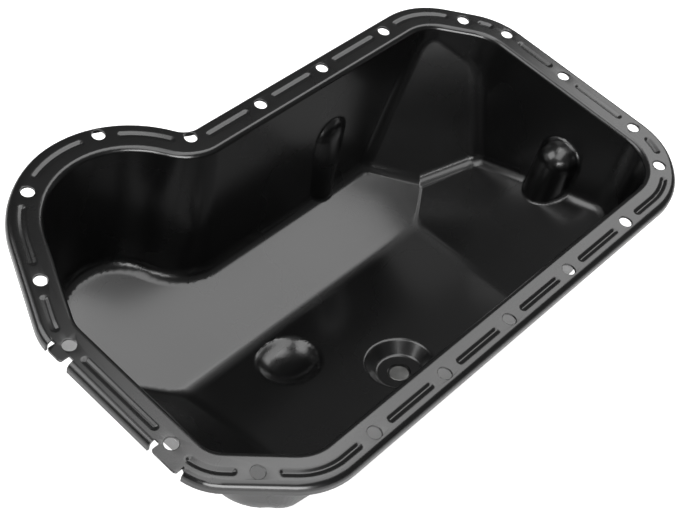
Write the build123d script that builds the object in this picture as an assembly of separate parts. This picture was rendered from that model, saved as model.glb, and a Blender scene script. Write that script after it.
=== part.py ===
"""Engine oil pan: one deep-drawn sheet-steel pressing, with its drain bush, washer and plug.

Frame, in millimetres: z = 0 is the gasket face, +Z points out of the open top, +X runs along the
pan and +Y across it. The origin is the middle hole of the three evenly spaced ones on the near rail.
"""
import os
from math import acos, atan2, cos, degrees, hypot, radians, sin, tan

from build123d import *

# ---- sheet and rail
SHEET = 1.5                   # steel thickness
RAIL_OUTSIDE = 8.5            # bolt line to the outer face of the lip
RAIL_INSIDE = 11.2            # bolt line to where the wall would meet the gasket face
MOUTH_BEND = 4.8              # bend from the rail into the wall, on the upper face
LIP_DROP = 7.0                # height of the turned-down lip
LIP_BEND = 2.4                # bend from the rail into the lip, on the upper face

# ---- bolt line: straight runs and a round bulge, with rounded corners
NEAR_Y = 0.0
FAR_Y = 198.4
LEFT_X = -193.5
RIGHT_X = 185.0
BULGE_CENTRE = (-110.1, 173.8)
BULGE_RADIUS = 63.5
NEAR_LEFT_X = -148.4          # where the near run turns into the slanted left corner
LEFT_LOW_Y = 40.6             # the left run's two ends
LEFT_HIGH_Y = 146.3
RIGHT_HIGH_Y = 157.5          # where the right run turns into the slanted right corner
FAR_RIGHT_X = 150.6
CORNER_NEAR_LEFT = 36.5
CORNER_NEAR_RIGHT = 41.5
CORNER_RIGHT = 40.0
CORNER_FAR_RIGHT = 40.0
CORNER_BULGE = 22.0           # hollow corner between the bulge and the far run
CORNER_LEFT_HIGH = 30.0
CORNER_LEFT_LOW = 26.0

# ---- bolt holes, in order round the rail
HOLE_RADIUS = 3.85
HOLE_CHAMFER = 0.4
HOLES = [
    (LEFT_X, 134.9), (LEFT_X, 60.5), (-172.8, 22.0), (-112.0, NEAR_Y), (-56.0, NEAR_Y),
    (0.0, NEAR_Y), (56.0, NEAR_Y), (114.3, NEAR_Y), (171.3, 13.6), (RIGHT_X, 43.6),
    (RIGHT_X, 100.4), (RIGHT_X, 148.2), (170.7, 174.5), (117.6, FAR_Y), (59.4, FAR_Y),
    (5.7, FAR_Y), (-46.6, 203.2), (-87.5, 235.5), (-145.5, 225.9), (-178.5, 175.1),
]

# ---- stiffening beads, sunk between the holes
BEAD_TO_HOLE = 12.4           # hole centre to the centre of the bead's round end
BEAD_HALF_WIDTH = 2.3         # to the corner of its unrounded section
BEAD_FLANK = 35.0             # slope of its sides, degrees
BEAD_TOP_RADIUS = 2.2
BEAD_BOTTOM_RADIUS = 1.0
BEAD_STRIP = 3.4              # half the width of the strip that carries a bead

# ---- walls and floor of the inside
DRAFT = 5.7                   # degrees
BLOCK_DEPTH = 135.0
FLOOR_MEET = (103.3, 123.75, -111.9)      # where the three floor facets meet
FAR_FLOOR = (0.0, -0.231, 1.0)            # facet normals, pointing into the pan
NEAR_FLOOR = (0.0, 0.268, 1.0)
RIGHT_FLOOR = (-0.3925, 0.3305, 1.0)
FAR_CORNER_POINT = (150.0, 184.6, 0.0)    # slanted wall across the far right corner
FAR_CORNER = (-0.67, -0.74, 0.37)
LEFT_SLOPE_POINT = (-182.6, 100.0, -8.0)  # sloped left wall
LEFT_SLOPE = (1.0, 0.0, 0.37)
FAR_CORNER_RADIUS = 18.0
LEFT_SLOPE_RADIUS = 20.0
FLOOR_RADIUS = 10.0
CREASE_RADIUS = 4.0
STEEP = 0.8                   # a face counts as wall while its normal's Z stays under this

# ---- reliefs for the bolts, pushed into the right and far walls
RELIEF_RADIUS = 14.0
RELIEF_EDGE = 3.0
RIGHT_RELIEF = (167.1, 73.7, -31.0)       # axis, and the crown of its domed top
FAR_RELIEF = (63.0, 186.7, -35.0)

# ---- round pockets pressed down into the near floor facet
POCKET_RIM_BEND = 3.0
POCKET_FLOOR_BEND = 3.0
POCKET = dict(x=-48.5, y=101.0, rim=17.5, floor=11.5, depth=6.5)
DRAIN_POCKET = dict(x=-4.5, y=49.5, rim=21.0, floor=14.0, depth=8.0)

# ---- ears beside the two left holes, where the lip is left off
EAR_REACH = 12.0              # bolt line to the ear's outer edge
EAR_CORNER = 2.5
HIGH_EAR = (130.0, 140.0)     # extent of each ear along Y
HIGH_GAP = (126.5, 143.0)     # extent of the gap in the lip round it
LOW_EAR = (47.0, 64.0)
LOW_GAP = (45.0, 67.5)

# ---- drain
BUSH_BORE = 6.95              # radius
BUSH_RADIUS = 11.5
BUSH_HEIGHT = 8.0
HOLE_MARGIN = 0.3             # drain hole in the sheet beyond the bush's bore
WASHER_RADIUS = 11.0
WASHER_HEIGHT = 1.5
WASHER_MARGIN = 0.2           # washer's bore beyond the plug's shank
SHANK_CLEARANCE = 0.05        # between the plug's shank and the bush's bore
SHANK_SHORT = 1.0             # the shank ends this far below the pan's inner face
SHANK_CHAMFER = 1.0
COLLAR_RADIUS = 11.5
COLLAR_HEIGHT = 2.0
HEX_ACROSS_FLATS = 19.0
HEX_HEIGHT = 6.0
HEX_CHAMFER = 0.8


def nearest_vertex(sketch, x, y):
    """The corner of a sketch that lies nearest to a point."""
    return min(sketch.vertices(), key=lambda corner: hypot(corner.X - x, corner.Y - y))


def bulge_tangent():
    """Where the slanted run from the left side touches the round bulge."""
    dx = LEFT_X - BULGE_CENTRE[0]
    dy = LEFT_HIGH_Y - BULGE_CENTRE[1]
    angle = atan2(dy, dx) - acos(BULGE_RADIUS / hypot(dx, dy))
    return (BULGE_CENTRE[0] + BULGE_RADIUS * cos(angle), BULGE_CENTRE[1] + BULGE_RADIUS * sin(angle))


def bolt_line():
    """The face whose outline runs through the middle of the rail."""
    corners = [
        (NEAR_LEFT_X, NEAR_Y), (RIGHT_X, NEAR_Y), (RIGHT_X, RIGHT_HIGH_Y), (FAR_RIGHT_X, FAR_Y),
        (BULGE_CENTRE[0], FAR_Y), bulge_tangent(), (LEFT_X, LEFT_HIGH_Y), (LEFT_X, LEFT_LOW_Y),
    ]
    face = make_face(Polyline(*corners, close=True)) + Pos(*BULGE_CENTRE) * Circle(BULGE_RADIUS)
    half_chord = (BULGE_RADIUS**2 - (FAR_Y - BULGE_CENTRE[1]) ** 2) ** 0.5
    rounded = [
        (NEAR_LEFT_X, NEAR_Y, CORNER_NEAR_LEFT), (RIGHT_X, NEAR_Y, CORNER_NEAR_RIGHT),
        (RIGHT_X, RIGHT_HIGH_Y, CORNER_RIGHT), (FAR_RIGHT_X, FAR_Y, CORNER_FAR_RIGHT),
        (BULGE_CENTRE[0] + half_chord, FAR_Y, CORNER_BULGE),
        (LEFT_X, LEFT_HIGH_Y, CORNER_LEFT_HIGH), (LEFT_X, LEFT_LOW_Y, CORNER_LEFT_LOW),
    ]
    for x, y, radius in rounded:
        face = fillet(nearest_vertex(face, x, y), radius)
    return face


def facets(solid, normal):
    """The flat faces of a solid whose outward side is opposite to the given inward normal."""
    outward = Vector(*normal).normalized() * -1
    flat = [face for face in solid.faces() if face.geom_type == GeomType.PLANE]
    return [face for face in flat if (face.normal_at() - outward).length < 1e-3]


def shared_edges(first, second):
    """Edges that lie between two lists of faces."""
    others = [edge for face in second for edge in face.edges()]
    mine = [edge for face in first for edge in face.edges()]
    return [edge for edge in mine if any(edge.is_same(other) for other in others)]


def walls_of(solid):
    """The steep faces below the rim."""
    return [face for face in solid.faces() if -STEEP <= face.normal_at().Z < STEEP]


def floors_of(solid):
    """The faces that point downwards."""
    return [face for face in solid.faces() if face.normal_at().Z < -STEEP]


def wall_edges(solid, normal):
    """Edges of one slanted wall, apart from those along the floor."""
    wall = facets(solid, normal)
    along_floor = shared_edges(wall, floors_of(solid))
    return [edge for face in wall for edge in face.edges() if not any(edge.is_same(e) for e in along_floor)]


def within(faces, centre, reach):
    """The faces whose middle lies near an upright axis."""
    return [face for face in faces if hypot(face.center().X - centre[0], face.center().Y - centre[1]) < reach]


def other_faces(solid, faces):
    """All faces of a solid but the given ones."""
    return [face for face in solid.faces() if not any(face.is_same(known) for known in faces)]


def with_relief(space, place, grow):
    """Push a wall inwards by a round post with a domed top."""
    x, y, crown = place
    radius = RELIEF_RADIUS - grow
    middle = crown - grow - radius
    post = Pos(x, y, middle) * Sphere(radius) + Pos(x, y, middle - BLOCK_DEPTH / 2) * Cylinder(radius, BLOCK_DEPTH)
    space = space - post
    round_faces = [face for face in space.faces() if face.geom_type in (GeomType.SPHERE, GeomType.CYLINDER)]
    own = within(round_faces, place, RELIEF_RADIUS + 1)
    return fillet(shared_edges(own, other_faces(space, own)), RELIEF_EDGE + grow)


def floor_plane(size):
    """Frame on the near floor facet at a pocket, its z axis out of the floor into the pan."""
    rise = (FLOOR_MEET[1] - size["y"]) * NEAR_FLOOR[1]
    return Plane(origin=(size["x"], size["y"], FLOOR_MEET[2] + rise), z_dir=NEAR_FLOOR)


def with_pocket(space, size, grow):
    """Sink a shallow dish with sloped sides below the near floor facet."""
    slope = atan2(size["depth"], size["rim"] - size["floor"])
    spread = grow * tan(slope / 2)
    bottom = -grow - size["depth"]
    profile = Polyline(
        (0, bottom), (size["floor"] + spread, bottom), (size["rim"] + spread, -grow), (0, -grow), close=True
    )
    dish = revolve(Plane.XZ * make_face(profile), Axis.Z)
    dish = fillet(dish.edges().sort_by(Axis.Z)[0], POCKET_FLOOR_BEND + grow)
    space = space + floor_plane(size) * dish
    cones = [face for face in space.faces() if face.geom_type == GeomType.CONE]
    side = [face for face in within(cones, (size["x"], size["y"]), size["rim"]) if face.normal_at().Z < 0]
    return fillet(shared_edges(side, facets(space, NEAR_FLOOR)), POCKET_RIM_BEND - grow)


def pan_space(grow):
    """The space inside the pan, grown outwards by a sheet thickness for its outer skin."""
    mouth = offset(bolt_line(), -RAIL_INSIDE + grow / cos(radians(DRAFT)))
    space = extrude(mouth, amount=-BLOCK_DEPTH)
    sides = [face for face in space.faces() if abs(face.normal_at().Z) < STEEP]
    space = draft(sides, Plane.XY, -DRAFT)
    cuts = [
        (FLOOR_MEET, FAR_FLOOR), (FLOOR_MEET, NEAR_FLOOR), (FLOOR_MEET, RIGHT_FLOOR),
        (FAR_CORNER_POINT, FAR_CORNER), (LEFT_SLOPE_POINT, LEFT_SLOPE),
    ]
    for point, normal in cuts:
        inward = Vector(*normal).normalized()
        plane = Plane(origin=Vector(*point) - inward * grow, z_dir=inward)
        space = split(space, bisect_by=plane, keep=Keep.TOP)
    space = fillet(wall_edges(space, FAR_CORNER), FAR_CORNER_RADIUS + grow)
    space = fillet(wall_edges(space, LEFT_SLOPE), LEFT_SLOPE_RADIUS + grow)
    space = fillet(shared_edges(floors_of(space), walls_of(space)), FLOOR_RADIUS + grow)
    far, near, right = [facets(space, normal) for normal in (FAR_FLOOR, NEAR_FLOOR, RIGHT_FLOOR)]
    creases = shared_edges(far, near) + shared_edges(far, right) + shared_edges(near, right)
    space = fillet(creases, CREASE_RADIUS + grow)
    for place in (RIGHT_RELIEF, FAR_RELIEF):
        space = with_relief(space, place, grow)
    for size in (POCKET, DRAIN_POCKET):
        space = with_pocket(space, size, grow)
    return space


def loop_edges(solid, height, sketch):
    """The edges of a solid at one height that follow a sketch's outline."""
    line = sketch.face().outer_wire()
    level = [edge for edge in solid.edges() if abs(edge.center().Z - height) < 1e-3]
    level = [edge for edge in level if abs((edge @ 0).Z - height) < 1e-3]
    return [edge for edge in level if line.moved(Location((0, 0, height))).distance_to(edge @ 0.5) < 0.01]


def rail_blank():
    """Flat rail with its lip turned down all round, still closed over the mouth."""
    outer = offset(bolt_line(), RAIL_OUTSIDE)
    inner = offset(bolt_line(), RAIL_OUTSIDE - SHEET)
    blank = extrude(outer, amount=-LIP_DROP)
    blank = fillet(loop_edges(blank, 0, outer), LIP_BEND)
    hollow = Pos(0, 0, -SHEET) * extrude(inner, amount=-LIP_DROP)
    hollow = fillet(loop_edges(hollow, -SHEET, inner), LIP_BEND - SHEET)
    return blank - hollow


def ear(blank, span, gap):
    """Leave the lip off beside a left hole and let a flat ear stand out there."""
    flat_edge = LEFT_X - RAIL_OUTSIDE + LIP_BEND
    reach = LEFT_X - EAR_REACH
    window = Pos(flat_edge - EAR_REACH, (gap[0] + gap[1]) / 2, -LIP_DROP / 2) * Box(
        2 * EAR_REACH, gap[1] - gap[0], 2 * LIP_DROP
    )
    tab = make_face(
        Polyline(
            (flat_edge + EAR_REACH / 2, span[0]), (flat_edge + EAR_REACH / 2, span[1]),
            (reach, span[1]), (reach, span[0]), close=True,
        )
    )
    tab = fillet([nearest_vertex(tab, reach, y) for y in span], EAR_CORNER)
    return blank - window + extrude(tab, amount=-SHEET)


def bead_section():
    """Section of the sheet across a bead, x across it and y up, with a strip of flat rail each side."""
    under = SHEET * tan(radians(BEAD_FLANK) / 2)
    apex = -BEAD_HALF_WIDTH * tan(radians(BEAD_FLANK))
    low_apex = apex - SHEET / cos(radians(BEAD_FLANK))
    side = BEAD_HALF_WIDTH + under
    top = FilletPolyline(
        (-BEAD_STRIP, 0), (-BEAD_HALF_WIDTH, 0), (0, apex), (BEAD_HALF_WIDTH, 0), (BEAD_STRIP, 0),
        radius=(BEAD_TOP_RADIUS, BEAD_BOTTOM_RADIUS, BEAD_TOP_RADIUS),
    )
    bottom = FilletPolyline(
        (-BEAD_STRIP, -SHEET), (-side, -SHEET), (0, low_apex), (side, -SHEET), (BEAD_STRIP, -SHEET),
        radius=(BEAD_TOP_RADIUS - SHEET, BEAD_BOTTOM_RADIUS + SHEET, BEAD_TOP_RADIUS - SHEET),
    )
    ends = [Line((x, 0), (x, -SHEET)) for x in (-BEAD_STRIP, BEAD_STRIP)]
    return make_face(Wire(top.edges() + bottom.edges() + ends))


def section_plane(point, heading):
    """Upright plane across a bead, its x axis to the left of the heading."""
    return Plane(origin=point, x_dir=Vector(0, 0, 1).cross(heading), z_dir=heading)


def along(path, section):
    """Carry a section along straight runs and arcs, with a round end at each end of the path."""
    half = section & Pos(BEAD_STRIP / 2, 0) * Rectangle(BEAD_STRIP, 4 * BEAD_STRIP)
    pieces = []
    for edge in path.edges():
        plane = section_plane(edge @ 0, edge % 0)
        if edge.geom_type == GeomType.LINE:
            pieces.append(extrude(plane * section, amount=edge.length))
            continue
        turn = (edge % 0).cross(edge % 1).Z
        axis = Axis(edge.arc_center, (0, 0, 1 if turn > 0 else -1))
        pieces.append(revolve(plane * section, axis, revolution_arc=degrees(edge.length / edge.radius)))
    for end, back in ((0, 1), (1, -1)):
        plane = section_plane(path @ end, path % end)
        pieces.append(revolve(plane * half, Axis(path @ end, (0, 0, back)), revolution_arc=180))
    return pieces[0].fuse(*pieces[1:])


def bead_paths():
    """The stretches of the bolt line between neighbouring holes that carry a bead."""
    line = bolt_line().face().outer_wire()
    clear = BEAD_TO_HOLE / line.length
    places = [line.param_at_point(line.closest_points(Vector(*hole))[0]) for hole in HOLES]
    places.append(places[0] + 1)
    return [line.trim(a + clear, b - clear) for a, b in zip(places, places[1:])]


def cut_holes(pan):
    """Bolt holes with a small chamfer at the gasket face."""
    bore = Pos(0, 0, -SHEET) * Cylinder(HOLE_RADIUS, 4 * SHEET)
    bore += Pos(0, 0, -HOLE_CHAMFER / 2) * Cone(HOLE_RADIUS, HOLE_RADIUS + HOLE_CHAMFER, HOLE_CHAMFER)
    return pan - [Pos(x, y, 0) * bore for x, y in HOLES]


def pan():
    """The pressing: rail, lip, ears, walls, floor, reliefs, pockets, beads and holes."""
    body = rail_blank()
    body = ear(body, HIGH_EAR, HIGH_GAP)
    body = ear(body, LOW_EAR, LOW_GAP)
    body = body + pan_space(SHEET)
    skin = SHEET / cos(radians(DRAFT)) - SHEET * tan(radians(DRAFT))
    under_loop = offset(bolt_line(), -RAIL_INSIDE + skin)
    body = fillet(loop_edges(body, -SHEET, under_loop), MOUTH_BEND - SHEET)
    body = body - pan_space(0)
    body = fillet(loop_edges(body, 0, offset(bolt_line(), -RAIL_INSIDE)), MOUTH_BEND)
    paths = bead_paths()
    strip = Pos(0, -SHEET / 2) * Rectangle(2 * BEAD_STRIP, SHEET)
    body = body - [along(path, strip) for path in paths]
    body = body + [along(path, bead_section()) for path in paths]
    body = cut_holes(body)
    drain = floor_plane(DRAIN_POCKET) * Pos(0, 0, -DRAIN_POCKET["depth"])
    return body - drain * Cylinder(BUSH_BORE + HOLE_MARGIN, 4 * SHEET)


def drain_seat():
    """Frame on the outer face of the drain pocket's bottom, its z axis into the pan."""
    return floor_plane(DRAIN_POCKET) * Pos(0, 0, -DRAIN_POCKET["depth"] - SHEET)


def ring(outer, inner, height):
    """A flat ring that hangs from z = 0."""
    return Pos(0, 0, -height / 2) * (Cylinder(outer, height) - Cylinder(inner, height))


def drain_bush():
    """The bush welded under the drain pocket, which the plug screws into."""
    return drain_seat() * ring(BUSH_RADIUS, BUSH_BORE, BUSH_HEIGHT)


def drain_washer():
    """The sealing washer between the bush and the plug's collar."""
    inner = BUSH_BORE - SHANK_CLEARANCE + WASHER_MARGIN
    return drain_seat() * Pos(0, 0, -BUSH_HEIGHT) * ring(WASHER_RADIUS, inner, WASHER_HEIGHT)


def drain_plug():
    """Hexagon-head plug with a collar; its thread is left plain."""
    shank_radius = BUSH_BORE - SHANK_CLEARANCE
    shank_length = WASHER_HEIGHT + BUSH_HEIGHT + SHEET - SHANK_SHORT
    shank = Pos(0, 0, shank_length / 2) * Cylinder(shank_radius, shank_length)
    shank = chamfer(shank.edges().sort_by(Axis.Z)[-1], SHANK_CHAMFER)
    collar = Pos(0, 0, -COLLAR_HEIGHT / 2) * Cylinder(COLLAR_RADIUS, COLLAR_HEIGHT)
    outline = RegularPolygon(HEX_ACROSS_FLATS / 2, 6, major_radius=False)
    head = Pos(0, 0, -COLLAR_HEIGHT) * extrude(outline, amount=-HEX_HEIGHT)
    corner = HEX_ACROSS_FLATS / 2 / cos(radians(30))
    cone = Cylinder(corner, HEX_HEIGHT)
    cone = chamfer(cone.edges().sort_by(Axis.Z)[0], HEX_CHAMFER)
    head = head & Pos(0, 0, -COLLAR_HEIGHT - HEX_HEIGHT / 2) * cone
    return drain_seat() * Pos(0, 0, -BUSH_HEIGHT - WASHER_HEIGHT) * (shank + collar + head)


os.makedirs("parts", exist_ok=True)
export_step(pan(), "parts/pan.step")
export_step(drain_bush(), "parts/drain_bush.step")
export_step(drain_washer(), "parts/drain_washer.step")
export_step(drain_plug(), "parts/drain_plug.step")
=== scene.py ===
"""Looks of the engine oil pan: satin black enamel on pressed sheet steel, on a white studio table.

Everything is in metres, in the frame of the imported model: the gasket face is at z = 0.
"""

import math

import bmesh
import bpy
import numpy as np
from mathutils import Matrix, Vector
from mathutils.kdtree import KDTree


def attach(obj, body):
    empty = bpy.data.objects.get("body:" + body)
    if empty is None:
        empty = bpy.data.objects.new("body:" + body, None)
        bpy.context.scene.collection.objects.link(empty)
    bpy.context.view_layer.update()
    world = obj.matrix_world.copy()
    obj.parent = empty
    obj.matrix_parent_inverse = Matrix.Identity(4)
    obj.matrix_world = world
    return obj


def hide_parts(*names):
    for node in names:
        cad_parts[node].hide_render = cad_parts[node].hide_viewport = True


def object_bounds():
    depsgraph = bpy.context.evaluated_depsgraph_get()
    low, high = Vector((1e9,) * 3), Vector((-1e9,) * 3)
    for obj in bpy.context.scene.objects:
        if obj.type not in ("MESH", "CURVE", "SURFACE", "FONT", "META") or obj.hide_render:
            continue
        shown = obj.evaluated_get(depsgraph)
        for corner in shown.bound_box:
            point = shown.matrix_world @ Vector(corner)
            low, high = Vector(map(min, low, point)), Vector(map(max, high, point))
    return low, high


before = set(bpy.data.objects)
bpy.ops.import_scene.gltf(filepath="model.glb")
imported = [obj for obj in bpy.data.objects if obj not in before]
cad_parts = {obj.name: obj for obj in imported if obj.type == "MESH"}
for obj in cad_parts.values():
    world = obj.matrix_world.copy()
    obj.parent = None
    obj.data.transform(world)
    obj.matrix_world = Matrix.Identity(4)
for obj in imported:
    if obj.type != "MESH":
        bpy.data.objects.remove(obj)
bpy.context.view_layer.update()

# ---- camera: place, and the directions of its right and up sides
CAMERA_PLACE = Vector((-0.4817, -0.1646, 0.5784))
CAMERA_RIGHT = Vector((0.6677, -0.7191, 0.1923))
CAMERA_UP = Vector((0.4782, 0.6123, 0.6296))
SENSOR = 36.0                 # mm
LENS = 74.56                  # mm

# ---- studio
TABLE_GAP = 0.0005            # between the lowest point and the table
TABLE_SIZE = 6.0
SKY_GREY = 0.10               # radiance of the room round the lamps

# ---- the pressing's forms, in mm: planes as a point and a normal that points into the pan
SHEET = 1.5
DRAFT = 0.0998                # tangent of the walls' draft
RAIL_INSIDE = 11.2            # bolt line to the wall at the gasket face
FLOOR_MEET = (103.3, 123.75, -111.9)
FAR_FLOOR = (0.0, -0.231, 1.0)
NEAR_FLOOR = (0.0, 0.268, 1.0)
RIGHT_FLOOR = (-0.3925, 0.3305, 1.0)
LEFT_FLOOR_POINT = (-110.0, 122.5, -111.5)
LEFT_FLOOR = (0.469, 0.269, 1.0)
LEFT_SLOPE_POINT = (-182.6, 100.0, -8.0)
LEFT_SLOPE = (1.0, 0.0, 0.37)
FAR_WALL_Y = 187.2            # at the gasket face
WALL_BLEND = 9.0              # reach of the blend from the walls into the floor
VALLEY_BLEND = 3.0            # reach of the soft creases between the floor facets
CREASE_REACH = 7.0            # this near a crease, the sharp floor is set to the soft height
CREASE_SLACK = 0.4            # how far from the sharp floor a point of it may lie, in height
RIGHT_CREASE_LEAN = 0.159     # change of x per y along the crease to the right facet
LEFT_CREASE_LEAN = 1.06       # change of y per x square to the crease to the left facet
LEFT_BLEND = 2.4
RIGHT_BLEND = 1.7
SHARP_BLEND = 1e-3            # a blend of no size
HIGH_Z, LOW_Z = 40.0, -140.0  # the floor's height is searched between these
HALVINGS = 36
FOOT_Z = -12.0                # only what is lower than this is lifted
FOOT_Y = 190.0                # and nearer than this
CORNERS = (                   # bolt line round the near left corner: corner points and their radii
    ((-148.4, 0.0), 36.5),
    ((-193.5, 40.6), 26.0),
)
NEAR_RUN = ((185.0, 0.0), (-148.4, 0.0))
LEFT_RUN_END = (-193.5, 146.3)

# ---- the rest of the bolt line, and what the sheet does beside it
RIGHT_CORNERS = (
    ((185.0, 0.0), 41.5),
    ((185.0, 157.5), 40.0),
    ((150.6, 198.4), 40.0),
)
LEFT_HIGH_RADIUS = 30.0
FAR_RUN_Y = 198.4
HOLLOW_RADIUS = 22.0
BULGE_CENTRE = (-110.1, 173.8)
BULGE_RADIUS = 63.5
LINE_STEP = 0.4               # between samples of the bolt line
RAIL_OUTSIDE = 8.5            # bolt line to the lip's outer face
RAIL_LOW = -9.0               # the rail's new form reaches down to here
LIP_INSIDE = 5.0              # bolt line to anywhere between the beads and the lip
BEND_FOOT = 0.6               # how far under its centre a bend is still moved
LIP_DROP = 7.0
LIP_EASE = 3.4                # the lip is this much shorter on the far and right sides
VIEW_ALONG = (0.77, 0.64)     # from the near left corner to the far right one
AWAY_FULL = 0.55              # how far a side faces that way when it counts as far
EAR_SHARE = 0.45              # share of the ears' reach past the lip that stays
LIP_BEND = 2.4                # bend from the rail into the lip, in the solid
NEW_LIP_BEND = 4.2            # and here, on the near side
FAR_LIP_BEND = 2.4            # and on the far side
MOUTH_BEND = 4.8              # bend from the rail into the wall, in the solid
NEW_MOUTH_BEND = 3.4
BEAD_REACH = 3.45             # half the strip that carries a bead, and a little more
BEAD_SHARE = 0.62             # share of the beads' depth that stays
SKIN_SLACK = 0.02             # how near a point lies to a face that it belongs to

# ---- bowl pressed into the near floor facet, and the bolt relief in the far wall
BOWL = (-47.6, 99.0)
BOWL_RADIUS = 19.5
BOWL_DEPTH = 6.5
BOWL_EDGE = 1.6               # rounding of its rim
BOWL_POWER = 2.8              # 2 is a dish, more is flatter in the middle
BOWL_REACH = 25.0             # the solid's own pocket ends inside this
BOWL_PITCH = 1.8              # between the lines cut across it
RELIEF_X = 63.0
RELIEF_REACH = 18.0           # half the width that is moved
RELIEF_FRONT = 172.7          # y of the solid's relief, where it stands out most
RELIEF_DEPTH = 5.3
RELIEF_TOP = -20.0            # above this the wall is left as it is
RELIEF_SLACK = 4.0            # how far in front of the relief points are still taken

# ---- lines cut across the flat faces
LEFT_CORNER = ((-190, -88), (2, 172), (-125, -14))    # boxes that hold the faces to cut
FLOOR = ((-160, 150), (8, 160), (-125, -60))
BOWL_BOTTOM, BOWL_TOP = -125, -90
FACET_LINES = ((-180, -92), (10, 168), (-96, -20))    # first and last line along each axis
FACET_PITCH = 4
CREASE_LINES = (0.0, 0.8, 1.8, 3.0, 4.5, 6.5)    # distances from a crease, on both sides


def ramp(value, low, high):
    """Smooth step from 0 at low to 1 at high."""
    t = np.clip((value - low) / (high - low), 0, 1)
    return t * t * (3 - 2 * t)


def soft_min(first, second, reach):
    """The smaller of two distances, rounded where they are nearly equal."""
    near = np.maximum(reach - np.abs(first - second), 0) / reach
    return np.minimum(first, second) - near * near * reach / 4


def from_plane(x, y, z, point, normal):
    """Distance of points from a plane, positive inside the pan."""
    length = sum(part * part for part in normal) ** 0.5
    parts = zip((x, y, z), point, normal)
    return sum((value - start) * part for value, start, part in parts) / length


def inside_run(x, y, start, end):
    """Distance inwards from one straight run of the bolt line, and the run's direction."""
    along = np.array(end) - np.array(start)
    along = along / np.linalg.norm(along)
    return (x - start[0]) * along[1] - (y - start[1]) * along[0], along


def inside_line(x, y):
    """Distance inwards from the bolt line round the near left corner."""
    points = [NEAR_RUN[0]] + [corner for corner, radius in CORNERS] + [LEFT_RUN_END]
    runs = [inside_run(x, y, start, end) for start, end in zip(points, points[1:])]
    least = np.minimum.reduce([distance for distance, along in runs])
    for (corner, radius), (first, second) in zip(CORNERS, zip(runs, runs[1:])):
        before, after = first[1], second[1]
        half = np.arccos(np.clip(before @ after, -1, 1)) / 2
        inward = (after - before) / np.linalg.norm(after - before)
        centre = np.array(corner) + inward * radius / np.cos(half)
        dx, dy = x - centre[0], y - centre[1]
        past = (dx * before[0] + dy * before[1] > 0) & (dx * after[0] + dy * after[1] < 0)
        least = np.where(past, radius - np.hypot(dx, dy), least)
    return least


def room(x, y, z, left_facet):
    """Distance inwards from the inner face near the floor, with or without the left facet."""
    floor = soft_min(
        from_plane(x, y, z, FLOOR_MEET, NEAR_FLOOR), from_plane(x, y, z, FLOOR_MEET, FAR_FLOOR),
        VALLEY_BLEND if left_facet else SHARP_BLEND)
    floor = soft_min(
        floor, from_plane(x, y, z, FLOOR_MEET, RIGHT_FLOOR),
        RIGHT_BLEND if left_facet else SHARP_BLEND)
    if left_facet:
        floor = soft_min(floor, from_plane(x, y, z, LEFT_FLOOR_POINT, LEFT_FLOOR), LEFT_BLEND)
    wall = (inside_line(x, y) - RAIL_INSIDE + z * DRAFT) / (1 + DRAFT * DRAFT) ** 0.5
    wall = soft_min(wall, from_plane(x, y, z, LEFT_SLOPE_POINT, LEFT_SLOPE), WALL_BLEND)
    return soft_min(wall, floor, WALL_BLEND)


def height(x, y, level, left_facet):
    """Height of the inner face (level 0) or of the outer skin (level -SHEET) over points."""
    low = np.full_like(x, LOW_Z)
    high = np.full_like(x, HIGH_Z)
    for _ in range(HALVINGS):
        middle = (low + high) / 2
        above = room(x, y, middle, left_facet) > level
        high = np.where(above, middle, high)
        low = np.where(above, low, middle)
    return (low + high) / 2


def unit(vector):
    """A vector's direction."""
    return np.array(vector) / np.linalg.norm(vector)


def arc_samples(centre, radius, first, last, outwards=1):
    """Points and outward normals along an arc of the bolt line, by the normal's angle."""
    count = int(abs(last - first) * radius / LINE_STEP) + 2
    angles = np.linspace(first, last, count)
    normals = np.column_stack((np.cos(angles), np.sin(angles)))
    return np.array(centre) + outwards * radius * normals, normals


def run_samples(start, end):
    """Points and outward normals along a straight run, with the pan on its left."""
    count = int(np.linalg.norm(np.array(end) - start) / LINE_STEP) + 2
    along = unit(np.array(end) - start)
    places = np.linspace(start, end, count)
    return places, np.tile((along[1], -along[0]), (count, 1))


def corner_samples(before, corner, after, radius):
    """The arc in a corner between two straight runs."""
    first, last = unit(np.array(corner) - before), unit(np.array(after) - corner)
    turn = math.acos(np.clip(first @ last, -1, 1))
    start = np.array(corner) - first * radius * math.tan(turn / 2)
    normal = np.array((first[1], -first[0]))
    angle = math.atan2(normal[1], normal[0])
    return arc_samples(start - normal * radius, radius, angle, angle + turn)


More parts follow.
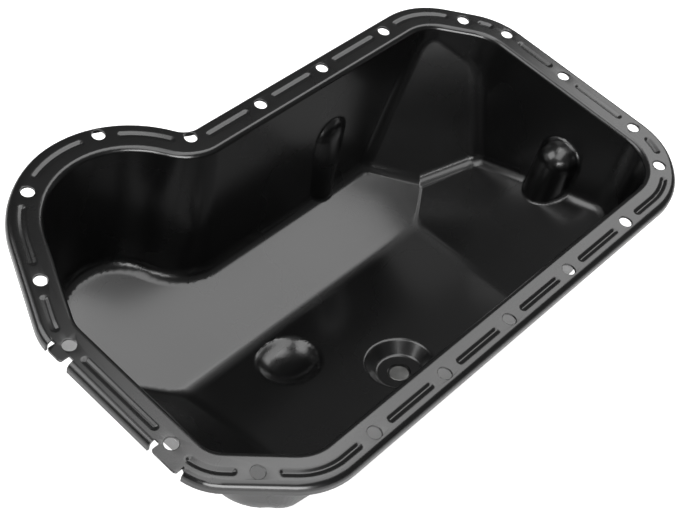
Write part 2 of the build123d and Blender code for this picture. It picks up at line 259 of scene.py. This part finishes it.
def bolt_line():
    """Points and outward normals all along the bolt line."""
    centre = np.array(BULGE_CENTRE)
    hollow_y = FAR_RUN_Y + HOLLOW_RADIUS
    gap = BULGE_RADIUS + HOLLOW_RADIUS
    hollow = np.array((centre[0] + math.sqrt(gap**2 - (hollow_y - centre[1]) ** 2), hollow_y))
    start = math.atan2(*(hollow - centre)[::-1])
    to_left = np.array(LEFT_RUN_END) - centre
    open_angle = math.acos(BULGE_RADIUS / np.linalg.norm(to_left))
    end = math.atan2(to_left[1], to_left[0]) - open_angle + 2 * math.pi
    touch = centre + BULGE_RADIUS * np.array((math.cos(end), math.sin(end)))
    far_start = (hollow[0], FAR_RUN_Y)
    chain = [
        (tuple(touch), 0.0), (LEFT_RUN_END, LEFT_HIGH_RADIUS), CORNERS[1], CORNERS[0],
        *RIGHT_CORNERS, (far_start, 0.0)]
    parts = []
    leave = chain[0][0]
    for (before, _), (corner, radius), (after, _) in zip(chain, chain[1:], chain[2:]):
        arc = corner_samples(before, corner, after, radius)
        parts += [run_samples(leave, arc[0][0]), arc]
        leave = arc[0][-1]
    parts.append(run_samples(leave, far_start))
    parts.append(arc_samples(hollow, HOLLOW_RADIUS, math.pi / 2, start, -1))
    parts.append(arc_samples(centre, BULGE_RADIUS, start, end))
    places, normals = zip(*parts)
    return np.vstack(places), np.vstack(normals)


def turn_bend(across, z, outwards, centre, radius, new_centre, new_radius):
    """Give a bend of the sheet another radius: both skins keep their angle and their distance."""
    dx, dz = across - centre[0], z - centre[1]
    reach = np.hypot(dx, dz)
    in_sheet = (reach < radius + SKIN_SLACK) & (reach > radius - SHEET - SKIN_SLACK)
    mine = in_sheet & (dx * outwards > -SKIN_SLACK) & (dz > -BEND_FOOT)
    scale = np.where(mine, (reach + new_radius - radius) / np.maximum(reach, 0.1), 1)
    return (
        np.where(mine, new_centre[0] + dx * scale, across),
        np.where(mine, new_centre[1] + dz * scale, z))


def reform_rail(points):
    """Other lip and mouth bends, shallower beads, a shorter far lip and shorter ears."""
    places, outward = bolt_line()
    tree = KDTree(len(places))
    for index, place in enumerate(places):
        tree.insert((*place, 0), index)
    tree.balance()
    rows = np.flatnonzero(points[:, 2] > RAIL_LOW)
    found = np.array([tree.find((x, y, 0))[1] for x, y in points[rows, :2]])
    normal = outward[found]
    across = np.sum((points[rows, :2] - places[found]) * normal, axis=1)
    z = points[rows, 2]
    bead = np.abs(across) < BEAD_REACH
    floor = np.where(z < -SHEET, -SHEET, 0)
    moved_z = np.where(bead, floor + (z - floor) * BEAD_SHARE, z)
    away = ramp(normal @ unit(VIEW_ALONG), 0.0, AWAY_FULL)
    bend = NEW_LIP_BEND + (FAR_LIP_BEND - NEW_LIP_BEND) * away
    lip_end = RAIL_OUTSIDE - LIP_BEND, -LIP_BEND
    new_lip_end = RAIL_OUTSIDE - bend, -bend
    moved, moved_z = turn_bend(across, moved_z, 1, lip_end, LIP_BEND, new_lip_end, bend)
    lean = (1 + DRAFT * DRAFT) ** 0.5 - DRAFT
    mouth = -RAIL_INSIDE + MOUTH_BEND * lean, -MOUTH_BEND
    new_mouth = -RAIL_INSIDE + NEW_MOUTH_BEND * lean, -NEW_MOUTH_BEND
    moved, moved_z = turn_bend(moved, moved_z, -1, mouth, MOUTH_BEND, new_mouth, NEW_MOUTH_BEND)
    low_edge = (np.abs(z + LIP_DROP) < SKIN_SLACK) & (across > LIP_INSIDE)
    moved_z = np.where(low_edge, -LIP_DROP + away * LIP_EASE, moved_z)
    ear = (across > RAIL_OUTSIDE) & (z > -2 * SHEET)
    moved = np.where(ear, RAIL_OUTSIDE + (across - RAIL_OUTSIDE) * EAR_SHARE, moved)
    points[rows, :2] += normal * (moved - across)[:, None]
    points[rows, 2] = moved_z


def cut(mesh, box, spots, normal):
    """Cut the faces that reach into a box by parallel planes, so that they can bend there."""
    (x0, x1), (y0, y1), (z0, z1) = box
    geometry = set()
    for face in mesh.faces:
        xs, ys, zs = zip(*(vert.co for vert in face.verts))
        if (min(xs) < x1 / 1000 and max(xs) > x0 / 1000
                and min(ys) < y1 / 1000 and max(ys) > y0 / 1000
                and min(zs) < z1 / 1000 and max(zs) > z0 / 1000):
            geometry.update((face, *face.edges, *face.verts))
    geometry = list(geometry)
    for spot in spots:
        done = bmesh.ops.bisect_plane(
            mesh, geom=geometry, dist=1e-6,
            plane_co=[value / 1000 for value in spot], plane_no=normal)
        geometry = done["geom"]


def steps(low, high, pace):
    """Evenly spaced values between two limits."""
    return np.arange(low, high + pace / 2, pace)


def cut_for_forms(mesh):
    """Lines across the flat faces, where the left facet, the creases and the bowl need them."""
    for axis, ends in enumerate(FACET_LINES):
        way = np.eye(3)[axis]
        cut(mesh, LEFT_CORNER, [way * spot for spot in steps(*ends, FACET_PITCH)], way)
    across = sorted({sign * line for line in CREASE_LINES for sign in (-1, 1)})
    meet_x, meet_y = FLOOR_MEET[:2]
    left_x, left_y = LEFT_FLOOR_POINT[:2]
    cut(mesh, FLOOR, [(0, meet_y + step, 0) for step in across], (0, 1, 0))
    cut(mesh, FLOOR, [(meet_x + step, meet_y, 0) for step in across], (1, -RIGHT_CREASE_LEAN, 0))
    cut(mesh, LEFT_CORNER, [(left_x + step, 0, 0) for step in across], (1, 0, 0))
    left_crease = [(left_x + step, left_y, 0) for step in across]
    cut(mesh, LEFT_CORNER, left_crease, (1, LEFT_CREASE_LEAN, 0))
    (x0, x1), (y0, y1) = [(middle - BOWL_REACH, middle + BOWL_REACH) for middle in BOWL]
    bowl = ((x0, x1), (y0, y1), (BOWL_BOTTOM, BOWL_TOP))
    cut(mesh, bowl, [(x, 0, 0) for x in steps(x0, x1, BOWL_PITCH)], (1, 0, 0))
    cut(mesh, bowl, [(0, y, 0) for y in steps(y0, y1, BOWL_PITCH)], (0, 1, 0))


def faces_inwards(x, y, z, normals):
    """Whether each point lies on the inner face, from its normal and the way into the pan."""
    step = 0.5
    ways = [
        room(x + step, y, z, True) - room(x - step, y, z, True),
        room(x, y + step, z, True) - room(x, y - step, z, True),
        room(x, y, z + step, True) - room(x, y, z - step, True),
    ]
    return sum(way * part for way, part in zip(ways, normals.T)) > 0


def raise_floor(points, inner):
    """The left floor facet and the soft creases, as a lift of the floor and the walls' feet."""
    x, y, z = points.T
    reachable = (z < FOOT_Z) & (inside_line(x, y) > RAIL_INSIDE - 3 * SHEET) & (y < FOOT_Y)
    lift = np.zeros_like(z)
    for skin, level in ((inner, 0.0), (~inner, -SHEET)):
        mine = reachable & skin
        after = height(x[mine], y[mine], level, True)
        before = height(x[mine], y[mine], level, False)
        to_near = np.abs(y[mine] - FLOOR_MEET[1])
        lean = RIGHT_CREASE_LEAN * (y[mine] - FLOOR_MEET[1])
        to_right = np.abs(x[mine] - FLOOR_MEET[0] - lean)
        crease = np.minimum(to_near, to_right) < CREASE_REACH
        crease &= np.abs(z[mine] - before) < CREASE_SLACK
        lift[mine] = np.where(crease, after - z[mine], np.maximum(after - before, 0))
    points[:, 2] += lift


def press_bowl(points, inner):
    """A round bowl in the near floor facet."""
    normal = unit(NEAR_FLOOR)
    middle = np.array((*BOWL, FLOOR_MEET[2] - NEAR_FLOOR[1] * (BOWL[1] - FLOOR_MEET[1])))
    away = points - middle
    stand = away @ normal
    reach = np.linalg.norm(away - np.outer(stand, normal), axis=1)
    mine = (reach < BOWL_REACH) & (np.abs(stand + BOWL_DEPTH / 2) < BOWL_DEPTH + SHEET)
    mine &= points[:, 1] < FLOOR_MEET[1] - 1
    hollow = BOWL_DEPTH * (1 - (reach / BOWL_RADIUS) ** BOWL_POWER)
    dish = soft_min(-hollow, 0 * hollow, BOWL_EDGE)
    dish = np.where(reach < BOWL_RADIUS + BOWL_EDGE * 2, dish, 0)
    target = dish - np.where(inner, 0, SHEET)
    points[mine] += np.outer((target - stand)[mine], normal)


def ease_relief(points, inner):
    """A shallower bolt relief in the far wall."""
    x, y, z = points.T
    wall = FAR_WALL_Y + z * DRAFT + np.where(inner, 0, SHEET)
    mine = (np.abs(x - RELIEF_X) < RELIEF_REACH) & (z < RELIEF_TOP)
    mine &= (y > RELIEF_FRONT - RELIEF_SLACK) & (y < wall)
    scale = np.minimum(RELIEF_DEPTH / (FAR_WALL_Y + z * DRAFT - RELIEF_FRONT), 1)
    points[mine, 1] = (wall - (wall - y) * scale)[mine]


def formed_pan():
    """The pressing with its left floor facet, soft creases, rail, bowl and shallow relief."""
    mesh = bpy.data.meshes.new("pan_pressing")
    work = bmesh.new()
    work.from_mesh(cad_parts["pan"].data)
    bmesh.ops.remove_doubles(work, verts=work.verts, dist=1e-6)
    cut_for_forms(work)
    bmesh.ops.triangulate(work, faces=[face for face in work.faces if len(face.verts) > 4])
    work.normal_update()
    points = np.array([vert.co for vert in work.verts]) * 1000
    normals = np.array([vert.normal for vert in work.verts])
    inner = faces_inwards(*points.T, normals)
    press_bowl(points, inner)
    raise_floor(points, inner)
    reform_rail(points)
    ease_relief(points, normals[:, 1] < 0)
    for vert, point in zip(work.verts, points):
        vert.co = point / 1000
    for face in work.faces:
        face.smooth = True
    work.to_mesh(mesh)
    work.free()
    mesh.set_sharp_from_angle(angle=math.radians(30))
    piece = bpy.data.objects.new("pan_pressing", mesh)
    bpy.context.scene.collection.objects.link(piece)
    shading = piece.modifiers.new("normals", "WEIGHTED_NORMAL")
    shading.keep_sharp = True
    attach(piece, "root")
    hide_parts("pan")
    return piece


def new_material(name):
    """A new material, its node tree and its shader."""
    material = bpy.data.materials.new(name)
    material.use_nodes = True
    tree = material.node_tree
    return material, tree, tree.nodes["Principled BSDF"]


def node(tree, kind, **values):
    """A node with some of its inputs or settings filled in."""
    made = tree.nodes.new(kind)
    for key, value in values.items():
        if key in made.inputs:
            made.inputs[key].default_value = value
        else:
            setattr(made, key, value)
    return made


def noise(tree, scale, detail=3.0, roughness=0.5):
    """Noise in object space."""
    place = tree.nodes.get("Texture Coordinate") or tree.nodes.new("ShaderNodeTexCoord")
    made = node(tree, "ShaderNodeTexNoise", Scale=scale, Detail=detail, Roughness=roughness)
    tree.links.new(place.outputs["Object"], made.inputs["Vector"])
    return made


def ranged(tree, source, low, high, from_low=0.3, from_high=0.7):
    """Map a noise's middle range to new limits."""
    made = tree.nodes.new("ShaderNodeMapRange")
    limits = {"From Min": from_low, "From Max": from_high, "To Min": low, "To Max": high}
    for key, value in limits.items():
        made.inputs[key].default_value = value
    tree.links.new(source, made.inputs["Value"])
    return made.outputs["Result"]


def mixed(tree, factor, first, second):
    """Blend two colours by a factor."""
    made = tree.nodes.new("ShaderNodeMix")
    made.data_type = "RGBA"
    tree.links.new(factor, made.inputs["Factor"])
    made.inputs["A"].default_value = (*first, 1)
    made.inputs["B"].default_value = (*second, 1)
    return made.outputs["Result"]


def bumped(tree, shader, source, distance):
    """Feed a height into the shader's normal."""
    made = node(tree, "ShaderNodeBump", Distance=distance)
    tree.links.new(source, made.inputs["Height"])
    tree.links.new(made.outputs["Normal"], shader.inputs["Normal"])


def black_enamel():
    """Satin black dip enamel with a faint orange peel."""
    material, tree, shader = new_material("black_enamel")
    patches = noise(tree, 14, 4)
    share = ranged(tree, patches.outputs["Fac"], 0, 1)
    colour = mixed(tree, share, (0.0014, 0.0014, 0.0015), (0.0024, 0.0024, 0.0025))
    tree.links.new(colour, shader.inputs["Base Color"])
    tree.links.new(ranged(tree, patches.outputs["Fac"], 0.25, 0.31), shader.inputs["Roughness"])
    shader.inputs["IOR"].default_value = 1.55
    shader.inputs["Coat Weight"].default_value = 1.0
    shader.inputs["Coat Roughness"].default_value = 0.19
    shader.inputs["Coat IOR"].default_value = 1.55
    peel = noise(tree, 1100, 2)
    bumped(tree, shader, peel.outputs["Fac"], 0.00002)
    return material


def washer_metal():
    """Soft turned aluminium."""
    material, tree, shader = new_material("turned_aluminium")
    grain = noise(tree, 900, 3)
    tree.links.new(ranged(tree, grain.outputs["Fac"], 0.28, 0.42), shader.inputs["Roughness"])
    shader.inputs["Base Color"].default_value = (0.72, 0.72, 0.71, 1)
    shader.inputs["Metallic"].default_value = 1.0
    return material


def plug_steel():
    """Zinc-plated steel, slightly dulled."""
    material, tree, shader = new_material("zinc_steel")
    cloud = noise(tree, 160, 4)
    share = ranged(tree, cloud.outputs["Fac"], 0, 1)
    colour = mixed(tree, share, (0.38, 0.38, 0.37), (0.50, 0.50, 0.49))
    tree.links.new(colour, shader.inputs["Base Color"])
    tree.links.new(ranged(tree, cloud.outputs["Fac"], 0.30, 0.45), shader.inputs["Roughness"])
    shader.inputs["Metallic"].default_value = 1.0
    return material


def dress(piece, material):
    """Give a piece its finish."""
    piece.data.materials.clear()
    piece.data.materials.append(material)


def add_table():
    """White table, bright to the camera but still taking the object's shadow."""
    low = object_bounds()[0][2] - TABLE_GAP
    bpy.ops.mesh.primitive_plane_add(size=TABLE_SIZE, location=(0, 0, low))
    table = bpy.context.object
    table.name = "table"
    material, tree, shader = new_material("white_table")
    shader.inputs["Base Color"].default_value = (0.90, 0.90, 0.90, 1)
    shader.inputs["Roughness"].default_value = 0.9
    path = tree.nodes.new("ShaderNodeLightPath")
    tree.links.new(path.outputs["Is Camera Ray"], shader.inputs["Emission Strength"])
    shader.inputs["Emission Color"].default_value = (0.85, 0.85, 0.85, 1)
    table.data.materials.append(material)


def add_softbox(name, place, target, size, power, turn=0.0):
    """A rectangular area light that faces a point."""
    data = bpy.data.lights.new(name, "AREA")
    data.shape = "RECTANGLE"
    data.size, data.size_y = size
    data.energy = power
    lamp = bpy.data.objects.new(name, data)
    bpy.context.scene.collection.objects.link(lamp)
    lamp.location = place
    lamp.rotation_euler = (Vector(target) - Vector(place)).to_track_quat("-Z", "Y").to_euler()
    lamp.rotation_euler.z += math.radians(turn)
    lamp.visible_camera = False


def add_room():
    """Even grey room, white behind the table to the camera."""
    world = bpy.data.worlds.new("room")
    bpy.context.scene.world = world
    world.use_nodes = True
    tree = world.node_tree
    background = tree.nodes["Background"]
    path = tree.nodes.new("ShaderNodeLightPath")
    colour = mixed(tree, path.outputs["Is Camera Ray"], (SKY_GREY,) * 3, (1, 1, 1))
    tree.links.new(colour, background.inputs["Color"])


def add_camera():
    """The camera at the viewing angle."""
    data = bpy.data.cameras.new("camera")
    data.sensor_width = SENSOR
    data.lens = LENS
    camera = bpy.data.objects.new("camera", data)
    bpy.context.scene.collection.objects.link(camera)
    right = CAMERA_RIGHT.normalized()
    back = right.cross(CAMERA_UP).normalized()
    up = back.cross(right)
    turn = Matrix((right, up, back)).transposed().to_4x4()
    camera.matrix_world = Matrix.Translation(CAMERA_PLACE) @ turn
    bpy.context.scene.camera = camera


enamel = black_enamel()
dress(formed_pan(), enamel)
dress(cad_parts["pan"], enamel)
dress(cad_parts["drain_bush"], enamel)
dress(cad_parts["drain_washer"], washer_metal())
dress(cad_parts["drain_plug"], plug_steel())
add_table()
add_softbox("overhead", (0.45, 0.09, 0.95), (0.45, 0.09, 0), (2.6, 0.6), 9.2, 12)
add_softbox("near_left", (0.22, 0.40, 0.94), (0.22, 0.40, 0), (0.55, 0.34), 0.75, 12)
add_softbox("far_left", (-0.75, 0.80, 0.85), (0.1, 0.1, 0), (0.9, 0.9), 6)
add_softbox("camera_side", (-1.0, -1.0, 0.45), (0, 0.1, -0.05), (1.0, 0.8), 14)
add_room()
add_camera()
bpy.context.scene.view_settings.view_transform = "Standard"
